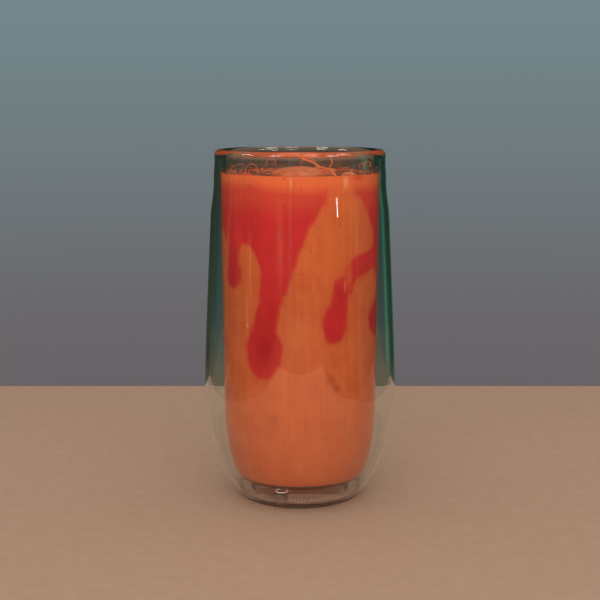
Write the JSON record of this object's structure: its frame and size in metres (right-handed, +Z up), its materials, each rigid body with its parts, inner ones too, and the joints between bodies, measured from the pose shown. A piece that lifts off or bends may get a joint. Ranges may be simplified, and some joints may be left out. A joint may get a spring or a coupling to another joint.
{
  "type": "strawberry smoothie in a glass",
  "caption": "Orange-pink fruit smoothie with red strawberry sauce run down the wall of a tall double-walled glass tumbler.",
  "frame": {"origin": "middle of the ring that the glass stands on, on the table", "axes": "+Z up along the axis of the glass, -Y towards the side shown in the picture, +X to its right"},
  "size_m": [0.0834, 0.0834, 0.151],
  "materials": {
    "glass": "clear blown borosilicate, polished",
    "silicone": "clear silicone, satin",
    "smoothie": "thick blended fruit, wet against the glass",
    "sauce": "strawberry puree, wet and glossy",
    "froth": "fine wet foam"
  },
  "bodies": {
    "root": {"glass": "glass", "vent_plug": "silicone", "smoothie": "smoothie", "strawberry_sauce": "sauce", "froth": "froth"}
  },
  "joints": []
}
